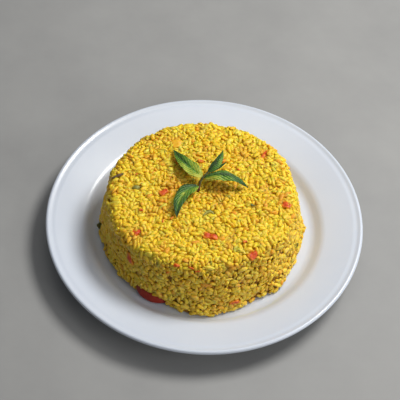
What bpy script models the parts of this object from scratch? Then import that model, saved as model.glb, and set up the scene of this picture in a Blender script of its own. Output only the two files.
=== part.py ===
"""Curry rice pressed in a round mould and turned out onto a white dinner plate.

Metres throughout. The plate's foot stands on z = 0 and its axis is the z axis. The heap of rice
is a little to the left of it. Bearings are degrees anticlockwise from +x, seen from above, and
a place on the heap is a bearing and the distance along its skin from the middle of its top.
"""

from math import atan2, cos, pi, radians, sin, sqrt

import bmesh
import bpy
import numpy as np
from mathutils import Matrix, Vector, noise
from mathutils.geometry import delaunay_2d_cdt

MM = 0.001
GAP = 0.3 * MM                    # free space between two pieces that touch

# Plate
PLATE_RADIUS = 130.0 * MM
PLATE_FLOOR = 8.0 * MM            # height of the eating surface
PLATE_WALL = 4.8 * MM
PLATE_SEGMENTS = 52
WELL_RADIUS = 86.3 * MM           # flat part of the floor
WELL_CURVE = 10.0 * MM            # radius of the curve from floor to wall
WELL_SLOPE = radians(41)
WELL_WALL_LENGTH = 3.4 * MM
SHOULDER_CURVE = 13.0 * MM        # radius of the soft edge between wall and rim
RIM_SLOPE = radians(15)
BEAD_RADIUS = 1.9 * MM            # lip round the rim
BEAD_HEIGHT = 21.0 * MM           # its middle above the table
BEAD_START = radians(122)         # where the lip leaves the groove inside it
GROOVE_WIDTH = 1.9 * MM
GROOVE_DEPTH = 0.85 * MM
GROOVE_EDGE = 2.8 * MM            # gentle slope from the rim down into the groove
FOOT_OUTSIDE = 75.0 * MM
FOOT_WIDTH = 4.5 * MM

# Heap of rice
HEAP_MIDDLE = Vector((-2.8 * MM, -1.8 * MM, PLATE_FLOOR + GAP))
HEAP_BASE_RADIUS = 84.4 * MM
HEAP_TOP_RADIUS = 76.6 * MM
HEAP_HEIGHT = 51.0 * MM
HEAP_EDGE = 8.0 * MM              # rounding between the top and the side
HEAP_TUCK = 0.8 * MM              # how far the foot stops short, where the plate curves up
HEAP_POINTS = 3720
HEAP_FOOT_POINTS = 132
GRAIN_HEIGHT = 1.9 * MM           # from the gaps between the grains up to their backs
CLUMP_SIZE = 13.0 * MM
CLUMP_HEIGHT = 1.1 * MM
SEED = 7

# Where the heap stands out of its round outline or falls short of it:
# bearing, half angle, height above the floor, half height, distance outwards
HEAP_BULGES = (
    (-88, 18, 0 * MM, 15 * MM, 2.4 * MM),
    (-39, 8, 0 * MM, 14 * MM, 2.8 * MM),
    (0, 4, 11 * MM, 5 * MM, 4.4 * MM),
    (-58, 9, 0 * MM, 20 * MM, -1.6 * MM),
    (-153, 20, 0 * MM, 22 * MM, -1.4 * MM),
    (-115, 15, 0 * MM, 7 * MM, -6.0 * MM),
    (-68, 20, 51 * MM, 14 * MM, -5.5 * MM),
    (-138, 18, 51 * MM, 14 * MM, 2.4 * MM),
    (12, 11, 51 * MM, 14 * MM, -2.2 * MM),
    (40, 14, 51 * MM, 14 * MM, 1.6 * MM),
    (105, 40, 51 * MM, 16 * MM, -1.4 * MM),
)

# Pieces sunk in the heap: bearing, distance along the skin, length, width, depth, turn, taper
PEPPER_DICE = (
    (-80, 46.5 * MM, 12.0 * MM, 5.5 * MM, 4.5 * MM, -12, 0.75),
    (-54, 75.5 * MM, 10.0 * MM, 6.0 * MM, 4.5 * MM, 14, 0.55),
    (-8, 67.5 * MM, 7.5 * MM, 6.0 * MM, 4.5 * MM, -25, 0.8),
    (-138, 64.5 * MM, 7.0 * MM, 5.5 * MM, 4.0 * MM, 30, 0.6),
    (-173, 31.4 * MM, 8.5 * MM, 5.0 * MM, 4.0 * MM, 48, 0.8),
    (-133, 92.0 * MM, 10.5 * MM, 5.0 * MM, 4.0 * MM, -68, 0.85),
    (-69, 116.0 * MM, 8.0 * MM, 5.0 * MM, 4.0 * MM, 8, 0.7),
    (41, 63.0 * MM, 10.0 * MM, 3.0 * MM, 3.5 * MM, 68, 0.7),
)
CARROT_DICE = (116, 53.5 * MM, 9.0 * MM, 8.0 * MM, 5.0 * MM, 10, 0.9)
HERB_PIECE = (-174, 116.0 * MM, 7.5 * MM, 3.6 * MM, 5.0 * MM, 80, 0.6)
DICE_PROUD = 1.2 * MM             # how far a sunk piece stands above the rice
DICE_BEVEL = 0.7 * MM
HERB_PROUD = 3.0 * MM

# Rounder pieces in the heap: bearing, distance along the skin, half length, half width, half
# depth, turn, bend
GREEN_SLICE = (-74, 22.0 * MM, 5.2 * MM, 1.5 * MM, 2.4 * MM, 4, 0.16 / MM)
BEAN_PIECE = (180, 53.5 * MM, 3.5 * MM, 2.3 * MM, 2.3 * MM, 12, 0.0)
HERB_STICK = (172.5, 69.4 * MM, 5.6 * MM, 1.1 * MM, 1.1 * MM, 26, 0.0)

# Strip of pepper at the foot of the heap, skin outwards
STRIP_MIDDLE = Vector((-31.1 * MM, -51.6 * MM, 0.0))   # of its own curve
STRIP_CURVE = 23.5 * MM
STRIP_BEARING = -106
STRIP_HALF_LENGTH = 17.0 * MM
STRIP_HALF_HEIGHT = 5.4 * MM
STRIP_HALF_THICKNESS = 2.6 * MM
STRIP_LEAN = radians(30)

# Mint sprig
STEM_PATH = (
    Vector((-6.9, -3.2, 54.5)) * MM,
    Vector((-6.2, -0.6, 60.2)) * MM,
    Vector((-5.6, 2.6, 63.9)) * MM,
    Vector((-3.4, 5.6, 66.4)) * MM,
    Vector((-2.2, 6.8, 67.3)) * MM,
    Vector((-1.0, 7.9, 68.0)) * MM,
)
STEM_RADIUS = 1.1 * MM
STEM_TIP = 0.65                   # share of that radius left at the top
LEAF_THICKNESS = 0.6 * MM
LEAF_STEPS = 10
LEAF_STRIPS = 4
LEAF_STALK = 0.5 * MM             # half width where the blade leaves the stem

# base, tip, rise in the middle, sideways bow, width, roll, fold along the midrib, wave
MINT_LEAVES = {
    "mint_leaf_back_left": ((-4.9, 7.0, 66.5), (-28.6, 37.2, 62.8), 3.4, 2.4, 13.6, 12, 14, 0.7),
    "mint_leaf_back": ((0.4, 9.8, 68.9), (11.3, 30.2, 72.0), 1.4, -1.8, 8.2, 38, 40, 0.3),
    "mint_leaf_right": ((-0.9, 5.4, 66.6), (33.0, 0.5, 62.6), 5.8, 2.2, 11.8, -12, -12, 0.7),
    "mint_leaf_front_left": ((-7.4, -0.9, 63.2), (-21.9, -33.0, 62.4), 3.2, -5.0, 12.8, 14, 14, 0.6),
    "mint_leaf_tip": ((2.4, 11.0, 67.4), (14.8, 19.6, 70.6), -0.4, -0.4, 2.6, 0, 24, 0.1),
}


def material(name, colour, roughness):
    """Principled surface of one colour."""
    made = bpy.data.materials.new(name)
    made.use_nodes = True
    shader = made.node_tree.nodes["Principled BSDF"]
    shader.inputs["Base Color"].default_value = (*colour, 1.0)
    shader.inputs["Roughness"].default_value = roughness
    shader.inputs["Metallic"].default_value = 0.0
    return made


def add_object(name, bm, collection, surface=None):
    """Object from a bmesh, smooth on its round stretches."""
    mesh = bpy.data.meshes.new(name)
    bm.to_mesh(mesh)
    bm.free()
    made = bpy.data.objects.new(name, mesh)
    collection.objects.link(made)
    if surface:
        mesh.materials.append(surface)
        mesh.shade_smooth()
        mesh.set_sharp_from_angle(angle=radians(40))
    else:
        made.hide_render = True
        made.display_type = 'WIRE'
    return made


def arc(middle, radius, start, end, steps):
    """Points of an arc in the plane of radius and height, angles in radians."""
    angles = np.linspace(start, end, steps)
    return [(middle[0] + radius * cos(a), middle[1] + radius * sin(a)) for a in angles]


# ---- plate

def plate_profile():
    """Half section from the middle of the floor out over the bead and back under to the middle."""
    well = arc((WELL_RADIUS, PLATE_FLOOR + WELL_CURVE), WELL_CURVE, -pi / 2, WELL_SLOPE - pi / 2, 5)
    wall_top = (well[-1][0] + WELL_WALL_LENGTH * cos(WELL_SLOPE),
                well[-1][1] + WELL_WALL_LENGTH * sin(WELL_SLOPE))
    shoulder_middle = (wall_top[0] + SHOULDER_CURVE * sin(WELL_SLOPE),
                       wall_top[1] - SHOULDER_CURVE * cos(WELL_SLOPE))
    shoulder = arc(shoulder_middle, SHOULDER_CURVE, pi / 2 + WELL_SLOPE, pi / 2 + RIM_SLOPE, 4)
    bead_middle = (PLATE_RADIUS - BEAD_RADIUS, BEAD_HEIGHT)
    bead = arc(bead_middle, BEAD_RADIUS, BEAD_START, radians(-80), 7)
    groove = (bead[0][0] - GROOVE_WIDTH, bead[0][1] - GROOVE_DEPTH)
    rim_end = (groove[0] - GROOVE_EDGE, groove[1] - GROOVE_EDGE * sin(RIM_SLOPE) / 2)
    under_rim = (shoulder[-1][0] + PLATE_WALL * sin(RIM_SLOPE), shoulder[-1][1] - PLATE_WALL * 0.8)
    under_wall = (well[-1][0] + PLATE_WALL * sin(WELL_SLOPE), well[-1][1] - PLATE_WALL * cos(WELL_SLOPE))
    underside = PLATE_FLOOR - PLATE_WALL
    foot = [
        (WELL_RADIUS, underside),
        (FOOT_OUTSIDE + 0.8 * MM, underside),
        (FOOT_OUTSIDE, 0.0),
        (FOOT_OUTSIDE - FOOT_WIDTH, 0.0),
        (FOOT_OUTSIDE - FOOT_WIDTH - 0.8 * MM, underside),
        (0.0, underside),
    ]
    rim = [rim_end, groove]
    return [(0.0, PLATE_FLOOR)] + well + shoulder + rim + bead + [under_rim, under_wall] + foot


def make_plate(collection):
    """Plate turned from its half section."""
    bm = bmesh.new()
    corners = [bm.verts.new((r, 0.0, z)) for r, z in plate_profile()]
    for first, second in zip(corners, corners[1:]):
        bm.edges.new((first, second))
    plate = add_object("plate", bm, collection, material("porcelain", (0.80, 0.82, 0.86), 0.12))
    screw = plate.modifiers.new("turn", 'SCREW')
    screw.steps = PLATE_SEGMENTS
    screw.render_steps = PLATE_SEGMENTS
    screw.use_merge_vertices = True
    screw.merge_threshold = 0.00001
    screw.use_smooth_shade = True


# ---- heap of rice

def heap_section():
    """Distance along the skin, radius and height at the corners of the heap's half section."""
    lean = atan2(HEAP_BASE_RADIUS - HEAP_TOP_RADIUS, HEAP_HEIGHT - HEAP_EDGE)
    edge = arc((HEAP_TOP_RADIUS - HEAP_EDGE, HEAP_HEIGHT - HEAP_EDGE), HEAP_EDGE, pi / 2, lean, 9)
    radius, height = np.array([(0.0, HEAP_HEIGHT)] + edge + [(HEAP_BASE_RADIUS, 0.0)]).T
    along = np.concatenate(([0.0], np.cumsum(np.hypot(np.diff(radius), np.diff(height)))))
    return along, radius, height


def heap_skin(along, bearing):
    """Points of the heap's skin without its grains, and the outward normals there."""
    corners, radii, heights = heap_section()
    step = 1.0 * MM
    radius = np.interp(along, corners, radii)
    height = np.interp(along, corners, heights)
    widening = np.interp(along + step, corners, radii) - np.interp(along - step, corners, radii)
    rise = np.interp(along + step, corners, heights) - np.interp(along - step, corners, heights)
    slant = np.hypot(widening, rise)
    out = np.zeros_like(radius)
    for middle, half_angle, level, half_height, distance in HEAP_BULGES:
        turn = (np.degrees(bearing) - middle + 180) % 360 - 180
        out += distance * np.exp(-(turn / half_angle) ** 2 - ((height - level) / half_height) ** 2)
    radius = radius + out * (radius / HEAP_TOP_RADIUS) ** 2
    around = np.stack([np.cos(bearing), np.sin(bearing)], axis=-1)
    points = np.concatenate([around * radius[:, None], height[:, None]], axis=-1)
    normals = np.concatenate([around * (-rise / slant)[:, None], (widening / slant)[:, None]], axis=-1)
    clumps = np.array([noise.noise(Vector(p) / CLUMP_SIZE) for p in points])
    level_foot = np.clip(height / CLUMP_SIZE, 0.0, 1.0)
    points += normals * (clumps * level_foot * CLUMP_HEIGHT)[:, None]
    return points + np.array(HEAP_MIDDLE), normals


def spread_points(random):
    """Places on the skin, evenly apart, on a spiral of golden turns, then a ring at the foot."""
    corners, radii, _ = heap_section()
    along = np.arange(0.25 * MM, corners[-1], 0.25 * MM)
    radius = np.interp(along, corners, radii)
    area = np.cumsum(2 * pi * radius * 0.25 * MM)
    spacing = sqrt(area[-1] / HEAP_POINTS)
    inner_area = np.interp(along[-1] - 0.7 * spacing, along, area)
    order = np.arange(HEAP_POINTS)
    place = np.interp((order + 0.5) / HEAP_POINTS * inner_area, area, along)
    bearing = order * pi * (3 - sqrt(5))
    shift = random.uniform(-0.28, 0.28, (2, HEAP_POINTS)) * spacing
    shift *= np.clip((along[-1] - 2 * spacing - place) / spacing, 0.0, 1.0)
    bearing += shift[1] / np.maximum(np.interp(place, along, radius), spacing)
    place = np.abs(place + shift[0])
    ring = np.arange(HEAP_FOOT_POINTS) * 2 * pi / HEAP_FOOT_POINTS
    # Flat map of the skin that keeps its angles: its radius grows by ds / r
    map_radius = along[0] * np.exp(np.cumsum(0.25 * MM / radius))
    place = np.concatenate([place, np.full(HEAP_FOOT_POINTS, corners[-1])])
    bearing = np.concatenate([bearing, ring])
    flat = np.interp(place, along, map_radius)
    flat[HEAP_POINTS:] *= 1.01
    return place, bearing, flat


def raise_grains(neighbours, random):
    """Height of each point: grains' backs between lower points, so that no two backs touch."""
    count = len(neighbours)
    height = random.uniform(-0.5, -0.25, count) * GRAIN_HEIGHT
    is_back = np.zeros(count, dtype=bool)
    for point in random.permutation(count):
        if not is_back[neighbours[point]].any():
            is_back[point] = True
            height[point] = random.uniform(0.3, 0.6) * GRAIN_HEIGHT
    return height


def make_heap(collection, cutters):
    """Heap of rice: a skin of bumps the size of the grains, closed by a flat foot."""
    random = np.random.default_rng(SEED)
    place, bearing, flat = spread_points(random)
    plan = [Vector((r * cos(b), r * sin(b))) for r, b in zip(flat, bearing)]
    ring = list(range(HEAP_POINTS, HEAP_POINTS + HEAP_FOOT_POINTS))
    ring_edges = list(zip(ring, ring[1:] + ring[:1]))
    _, edges, triangles, origin, _, _ = delaunay_2d_cdt(plan, ring_edges, [], 0, 1e-9)
    order = [sources[0] for sources in origin]
    neighbours = [[] for _ in place]
    for first, second in edges:
        neighbours[order[first]].append(order[second])
        neighbours[order[second]].append(order[first])
    points, normals = heap_skin(place, bearing)
    height = raise_grains(neighbours, random)
    normals[ring, 2] = 0.0
    height[ring] *= 0.6
    points += normals * (height[:, None] - HEAP_TUCK * np.isin(range(len(place)), ring)[:, None])
    points[ring, 2] = HEAP_MIDDLE.z
    bm = bmesh.new()
    corners = [bm.verts.new(p) for p in points]
    for triangle in triangles:
        bm.faces.new([corners[order[index]] for index in triangle])
    bm.faces.new([corners[index] for index in reversed(ring)])
    bmesh.ops.recalc_face_normals(bm, faces=bm.faces[:])
    heap = add_object("rice_heap", bm, collection, material("curry_rice", (0.80, 0.52, 0.05), 0.5))
    pockets = heap.modifiers.new("pockets", 'BOOLEAN')
    pockets.operation = 'DIFFERENCE'
    pockets.operand_type = 'COLLECTION'
    pockets.collection = cutters
    pockets.solver = 'EXACT'


def skin_matrix(bearing, along, turn, lift):
    """Frame on the heap's skin: x round the heap, then turned, z outwards, lifted by lift."""
    points, normals = heap_skin(np.array([along]), np.array([radians(bearing)]))
    outward = Vector(normals[0])
    across = Vector((-sin(radians(bearing)), cos(radians(bearing)), 0.0))
    if outward.z > 0.9:
        across = Vector((1.0, 0.0, 0.0))
    upward = outward.cross(across).normalized()
    axes = Matrix((upward.cross(outward), upward, outward)).transposed().to_4x4()
    return Matrix.Translation(Vector(points[0]) + outward * lift) @ axes @ Matrix.Rotation(radians(turn), 4, 'Z')


# ---- pieces in the heap

def dice_mesh(length, width, depth, taper, margin):
    """Cut block with bevelled edges, narrower at one end, all its sides moved out by margin."""
    bm = bmesh.new()
    bmesh.ops.create_cube(bm, size=1.0)
    for vert in bm.verts:
        narrow = taper if vert.co.x > 0 else 1.0
        vert.co.x *= length + 2 * margin
        vert.co.y *= width * narrow + 2 * margin
        vert.co.z *= depth + 2 * margin
    bmesh.ops.bevel(bm, geom=bm.edges[:], offset=DICE_BEVEL, segments=1, affect='EDGES')
    return bm


def make_dice(name, shape, proud, surface, collection, cutters):
    """One block in the heap, and the cutter that leaves room for it."""
    bearing, along, length, width, depth, turn, taper = shape
    frame = skin_matrix(bearing, along, turn, proud - depth / 2)
    for title, margin, holder, look in ((name, 0.0, collection, surface),
                                        ("room_for_" + name, GAP, cutters, None)):
        bm = dice_mesh(length, width, depth, taper, margin)
        bm.transform(frame)
        add_object(title, bm, holder, look)


def pebble_mesh(half_length, half_width, half_depth, bend, margin):
    """Pointed oval bent sideways by bend times the square of its length."""
    bm = bmesh.new()
    bmesh.ops.create_uvsphere(bm, u_segments=10, v_segments=6, radius=1.0)
    bm.transform(Matrix.Rotation(pi / 2, 4, 'Y'))
    for vert in bm.verts:
        vert.co.x *= half_length + margin
        vert.co.y = vert.co.y * (half_width + margin) - bend * vert.co.x ** 2
        vert.co.z *= half_depth + margin
    return bm


def make_pebble(name, shape, proud, surface, collection, cutters):
    """One rounded piece in the heap, and the cutter that leaves room for it."""
    bearing, along, half_length, half_width, half_depth, turn, bend = shape
    frame = skin_matrix(bearing, along, turn, proud - half_depth)
    for title, margin, holder, look in ((name, 0.0, collection, surface),
                                        ("room_for_" + name, GAP, cutters, None)):
        bm = pebble_mesh(half_length, half_width, half_depth, bend, margin)
        bm.transform(frame)
        add_object(title, bm, holder, look)


def strip_mesh(margin):
    """Long oval leaning inwards at the top, then bent round an upright axis."""
    bm = bmesh.new()
    bmesh.ops.create_uvsphere(bm, u_segments=14, v_segments=9, radius=1.0)
    bm.transform(Matrix.Rotation(pi / 2, 4, 'X'))
    lean = Matrix.Rotation(STRIP_LEAN, 4, 'Y')
    lowest = PLATE_FLOOR + GAP + sqrt((STRIP_HALF_HEIGHT * cos(STRIP_LEAN)) ** 2
                                      + (STRIP_HALF_THICKNESS * sin(STRIP_LEAN)) ** 2)
    for vert in bm.verts:
        run = vert.co.y * (STRIP_HALF_LENGTH + margin)
        section = Vector((vert.co.x * (STRIP_HALF_THICKNESS + margin), 0.0,
                          vert.co.z * (STRIP_HALF_HEIGHT + margin)))
        section.rotate(lean.inverted())
        angle = radians(STRIP_BEARING) + run / STRIP_CURVE
        reach = STRIP_CURVE + section.x
        vert.co = STRIP_MIDDLE + Vector((reach * cos(angle), reach * sin(angle), lowest + section.z))
    return bm


def make_strip(surface, collection, cutters):
    """Strip of pepper, and the cutter that leaves room for it."""
    add_object("pepper_strip", strip_mesh(0.0), collection, surface)
    add_object("room_for_pepper_strip", strip_mesh(GAP), cutters)


# ---- mint sprig

def stem_mesh(margin):
    """Tube along the stem's path, thinner towards its top, with closed ends."""
    curve = bpy.data.curves.new("stem_path", 'CURVE')
    curve.dimensions = '3D'
    curve.bevel_depth = 1.0
    curve.bevel_resolution = 2
    curve.use_fill_caps = True
    spline = curve.splines.new('POLY')
    spline.points.add(len(STEM_PATH) - 1)
    last = len(STEM_PATH) - 1
    for index, (point, place) in enumerate(zip(spline.points, STEM_PATH)):
        point.co = (*place, 1.0)
        point.radius = STEM_RADIUS * (1 - (1 - STEM_TIP) * index / last) + margin
    holder = bpy.data.objects.new("stem_path", curve)
    bpy.context.scene.collection.objects.link(holder)
    bpy.context.view_layer.update()
    mesh = bpy.data.meshes.new_from_object(holder.evaluated_get(bpy.context.evaluated_depsgraph_get()))
    bm = bmesh.new()
    bm.from_mesh(mesh)
    bmesh.ops.remove_doubles(bm, verts=bm.verts[:], dist=0.00001)
    bpy.data.objects.remove(holder)
    bpy.data.curves.remove(curve)
    bpy.data.meshes.remove(mesh)
    return bm


def leaf_mesh(base, tip, rise, bow, width, roll, fold, wave):
    """Blade on a bent midrib: its halves are folded up from the rib, and its margins wave."""
    base = Vector(base) * MM
    tip = Vector(tip) * MM
    chord = tip - base
    sideways = Vector((-chord.y, chord.x, 0.0)).normalized()
    bm = bmesh.new()
    bmesh.ops.create_grid(bm, x_segments=LEAF_STEPS, y_segments=LEAF_STRIPS, size=1.0)
    bmesh.ops.triangulate(bm, faces=bm.faces[:])
    for vert in bm.verts:
        t = (vert.co.x + 1) / 2
        u = vert.co.y
        hump = Vector((0, 0, rise * MM)) + sideways * bow * MM
        midrib = base + chord * t + hump * 4 * t * (1 - t)
        tangent = (chord + hump * 4 * (1 - 2 * t)).normalized()
        side = Vector((0, 0, 1)).cross(tangent).normalized()
        side.rotate(Matrix.Rotation(radians(roll), 3, tangent))
        face = tangent.cross(side)
        oval = sin(pi * t ** 0.64) ** 0.8 if 0 < t < 1 else 0.0
        half = LEAF_STALK * (1 - 0.5 * t) + width * MM / 2 * oval
        lift = abs(u) * (half * sin(radians(fold)) + oval * wave * MM * sin(14 * t + 2 * u))
        vert.co = midrib + side * u * half * cos(radians(fold)) + face * lift
    bmesh.ops.recalc_face_normals(bm, faces=bm.faces[:])
    return bm


def make_sprig(collection, cutters):
    """Stem stuck in the rice, with its leaves."""
    add_object("mint_stem", stem_mesh(0.0), collection, material("mint_stem", (0.10, 0.09, 0.03), 0.5))
    add_object("room_for_mint_stem", stem_mesh(GAP), cutters)
    green = material("mint_leaf", (0.05, 0.17, 0.03), 0.45)
    for name, shape in MINT_LEAVES.items():
        leaf = add_object(name, leaf_mesh(*shape), collection, green)
        thickness = leaf.modifiers.new("thickness", 'SOLIDIFY')
        thickness.thickness = LEAF_THICKNESS
        thickness.offset = 0.0


def main():
    for old in list(bpy.data.objects):
        bpy.data.objects.remove(old)
    dish = bpy.data.collections.new("curry_rice_on_a_plate")
    cutters = bpy.data.collections.new("room_for_pieces")
    bpy.context.scene.collection.children.link(dish)
    bpy.context.scene.collection.children.link(cutters)
    make_plate(dish)
    red = material("red_pepper", (0.62, 0.05, 0.02), 0.25)
    for number, shape in enumerate(PEPPER_DICE, start=1):
        make_dice(f"pepper_dice_{number}", shape, DICE_PROUD, red, dish, cutters)
    make_dice("carrot_dice", CARROT_DICE, DICE_PROUD, material("carrot", (0.85, 0.33, 0.02), 0.4),
              dish, cutters)
    green = material("green_herb", (0.10, 0.14, 0.03), 0.5)
    make_dice("herb_piece", HERB_PIECE, HERB_PROUD, green, dish, cutters)
    make_pebble("green_slice", GREEN_SLICE, DICE_PROUD, green, dish, cutters)
    make_pebble("bean_piece", BEAN_PIECE, DICE_PROUD, green, dish, cutters)
    make_pebble("herb_stick", HERB_STICK, DICE_PROUD, material("dry_herb", (0.09, 0.05, 0.02), 0.6),
                dish, cutters)
    make_strip(red, dish, cutters)
    make_sprig(dish, cutters)
    make_heap(dish, cutters)


main()
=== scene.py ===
from math import atan2, cos, degrees, hypot, pi, radians, sin, tan

import bpy
import numpy as np
from mathutils import Matrix, Vector, kdtree, noise


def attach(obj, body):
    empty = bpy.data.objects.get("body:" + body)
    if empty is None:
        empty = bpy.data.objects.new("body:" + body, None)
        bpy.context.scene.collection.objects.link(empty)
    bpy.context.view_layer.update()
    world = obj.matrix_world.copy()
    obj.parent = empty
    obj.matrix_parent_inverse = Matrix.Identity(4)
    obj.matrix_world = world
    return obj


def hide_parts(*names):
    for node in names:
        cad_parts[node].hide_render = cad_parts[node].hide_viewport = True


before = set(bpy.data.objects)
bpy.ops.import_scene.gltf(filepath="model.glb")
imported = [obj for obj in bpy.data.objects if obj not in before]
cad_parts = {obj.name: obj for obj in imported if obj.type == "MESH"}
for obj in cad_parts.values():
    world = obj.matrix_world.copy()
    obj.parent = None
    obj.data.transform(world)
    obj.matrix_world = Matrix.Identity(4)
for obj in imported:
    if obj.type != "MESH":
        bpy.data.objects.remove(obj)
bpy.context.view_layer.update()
mm = 0.001  # shapes are worked out in millimetres


# Shader maths: a socket with operators, and one method for every other node

def plug(tree, socket, value):
    if isinstance(value, Wire):
        tree.links.new(value.socket, socket)
    else:
        socket.default_value = value


class Wire:
    def __init__(self, tree, socket):
        self.tree = tree
        self.socket = socket

    def make(self, kind, settings=None, sockets=None, output=0):
        made = self.tree.nodes.new(kind)
        for key, value in (settings or {}).items():
            if key == 'stops':
                ramp = made.color_ramp.elements
                while len(ramp) < len(value):
                    ramp.new(0.5)
                for element, (position, colour) in zip(ramp, value):
                    element.position = position
                    element.color = (*colour, 1.0)
            else:
                setattr(made, key, value)
        for key, value in (sockets or {}).items():
            plug(self.tree, made.inputs[key], value)
        return Wire(self.tree, made.outputs[output])

    def maths(self, operation, first, second=0.0):
        return self.make('ShaderNodeMath', {'operation': operation}, {0: first, 1: second})

    def __add__(self, other):
        return self.maths('ADD', self, other)

    def __radd__(self, other):
        return self.maths('ADD', other, self)

    def __sub__(self, other):
        return self.maths('SUBTRACT', self, other)

    def __rsub__(self, other):
        return self.maths('SUBTRACT', other, self)

    def __mul__(self, other):
        return self.maths('MULTIPLY', self, other)

    def __rmul__(self, other):
        return self.maths('MULTIPLY', other, self)

    def between(self, low, high):  # 0 below low, 1 above high, smooth between
        return self.make('ShaderNodeMapRange', {'interpolation_type': 'SMOOTHSTEP'},
                         {'Value': self, 'From Min': low, 'From Max': high})

    def noise(self, size, detail=3.0, roughness=0.5):  # size in metres
        return self.make('ShaderNodeTexNoise', None,
                         {'Vector': self, 'Scale': 1 / size, 'Detail': detail, 'Roughness': roughness})

    def attribute(self, name):
        return self.make('ShaderNodeAttribute', {'attribute_name': name}, None, 2)

    def height(self):
        return self.make('ShaderNodeSeparateXYZ', None, {0: self}, 2)

    def ramp(self, *stops):
        return self.make('ShaderNodeValToRGB', {'stops': stops}, {0: self})

    def blend(self, first, second):  # self is the share of the second colour
        first = first if isinstance(first, Wire) else (*first, 1.0)
        second = second if isinstance(second, Wire) else (*second, 1.0)
        return self.make('ShaderNodeMix', {'data_type': 'RGBA'}, {0: self, 6: first, 7: second}, 2)

    def distance(self, point):
        return self.make('ShaderNodeVectorMath', {'operation': 'DISTANCE'}, {0: self, 1: point}, 1)

    def bump(self, distance, strength=1.0):
        return self.make('ShaderNodeBump', None, {'Height': self, 'Distance': distance, 'Strength': strength})


def surface(name, paint, **constants):
    # paint takes the object coordinates and gives the sockets that vary; the rest are fixed values
    made = bpy.data.materials.new(name)
    made.use_nodes = True
    tree = made.node_tree
    shader = tree.nodes["Principled BSDF"]
    for key, value in constants.items():
        shader.inputs[key.replace('_', ' ')].default_value = value
    place = Wire(tree, tree.nodes.new('ShaderNodeTexCoord').outputs['Object'])
    for key, value in paint(place).items():
        plug(tree, shader.inputs[key], value)
    return made


def addObject(name, data):
    made = bpy.data.objects.new(name, data)
    bpy.context.scene.collection.objects.link(made)
    return made


# Meshes from numpy arrays

def unit(vectors):
    return vectors / np.linalg.norm(vectors, axis=-1, keepdims=True)


def partAlong(vectors, direction):
    return direction * (vectors * direction).sum(-1, keepdims=True)


def roundBody(rings, sides):
    # places of the rings from -1 to 1, closer together at the ends, and the angles round each of them
    t = np.sin(np.linspace(-pi / 2, pi / 2, rings + 2)[1:-1])[:, None]
    return t, np.linspace(0, 2 * pi, sides, endpoint=False)[None]


def blunted(wave, power):
    # a cosine or sine turns boxy with a power below 1
    return np.sign(wave) * np.abs(wave) ** power


def aroundAxis(radius, turn, height):
    # points from their distance to the z axis, angle in radians and height
    return np.stack(np.broadcast_arrays(radius * np.cos(turn), radius * np.sin(turn), height), -1)


def tubeFaces(rings, sides):
    # quads round a stack of closed rings, and both end rings as fans to two last points
    ring = np.arange(rings - 1)[:, None] * sides
    side = np.arange(sides)[None, :]
    after = (side + 1) % sides
    quads = np.stack([ring + side, ring + after, ring + sides + after, ring + sides + side], -1)
    start, finish, last = rings * sides, rings * sides + 1, (rings - 1) * sides
    s, a = side[0], after[0]
    fans = np.concatenate([np.stack([np.full(sides, start), a, s], -1),
                           np.stack([np.full(sides, finish), last + s, last + a], -1)])
    return [quads.reshape(-1, 4), fans]


def closedTube(rings):
    # points of closed rings (rings, sides, 3) with a middle point added at both ends
    return np.concatenate([rings.reshape(-1, 3), rings[:1].mean(1), rings[-1:].mean(1)])


def volumeOf(points, faces):
    total = 0.0
    for group in faces:
        for corner in range(1, group.shape[1] - 1):
            a, b, c = points[group[:, 0]], points[group[:, corner]], points[group[:, corner + 1]]
            total += (a * np.cross(b, c)).sum() / 6
    return total


def addPiece(name, points, faces, material, replaced, attributes=None):
    # points in millimetres; faces: one array of corner numbers for each count of corners
    points = np.asarray(points, dtype=np.float64)
    if volumeOf(points, faces) < 0:
        faces = [group[:, ::-1] for group in faces]
    mesh = bpy.data.meshes.new(name)
    counts = np.concatenate([np.full(len(group), group.shape[1]) for group in faces])
    corners = np.concatenate([group.ravel() for group in faces])
    mesh.vertices.add(len(points))
    mesh.vertices.foreach_set('co', (points * mm).astype(np.float32).ravel())
    mesh.loops.add(len(corners))
    mesh.loops.foreach_set('vertex_index', corners.astype(np.int32))
    mesh.polygons.add(len(counts))
    mesh.polygons.foreach_set('loop_start', (np.cumsum(counts) - counts).astype(np.int32))
    mesh.polygons.foreach_set('loop_total', counts.astype(np.int32))
    mesh.update(calc_edges=True)
    mesh.shade_smooth()
    for key, values in (attributes or {}).items():
        attribute = mesh.attributes.new(key, 'FLOAT', 'POINT')
        attribute.data.foreach_set('value', values.astype(np.float32).ravel())
    mesh.materials.append(material)
    piece = addObject(name, mesh)
    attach(piece, "root")
    if replaced:
        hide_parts(*replaced)
    return piece


def joined(shapes):
    # several (points, faces, attributes) as one
    start = np.cumsum([0] + [len(points) for points, _, _ in shapes])
    faces = [np.concatenate([group[kind] + first for (_, group, _), first in zip(shapes, start)])
             for kind in range(len(shapes[0][1]))]
    shades = {key: np.concatenate([values[key] for _, _, values in shapes]) for key in shapes[0][2]}
    return np.concatenate([points for points, _, _ in shapes]), faces, shades


# Value fields on a lattice, read by trilinear interpolation

def cellCorners(cell, t):
    # the eight corners of a cell and the share of each; t is the place in the cell, 0 to 1
    for corner in range(8):
        offset = np.array([corner & 1, corner >> 1 & 1, corner >> 2])
        yield np.moveaxis(cell + offset, -1, 0), np.prod(np.where(offset, t, 1 - t), axis=-1)


def readField(field, low, step, points):
    scaled = np.clip((points - low) / step, 0, np.array(field.shape) - 1.001)
    cell = scaled.astype(np.int64)
    return sum(share * field[i, j, k] for (i, j, k), share in cellCorners(cell, scaled - cell))


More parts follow.
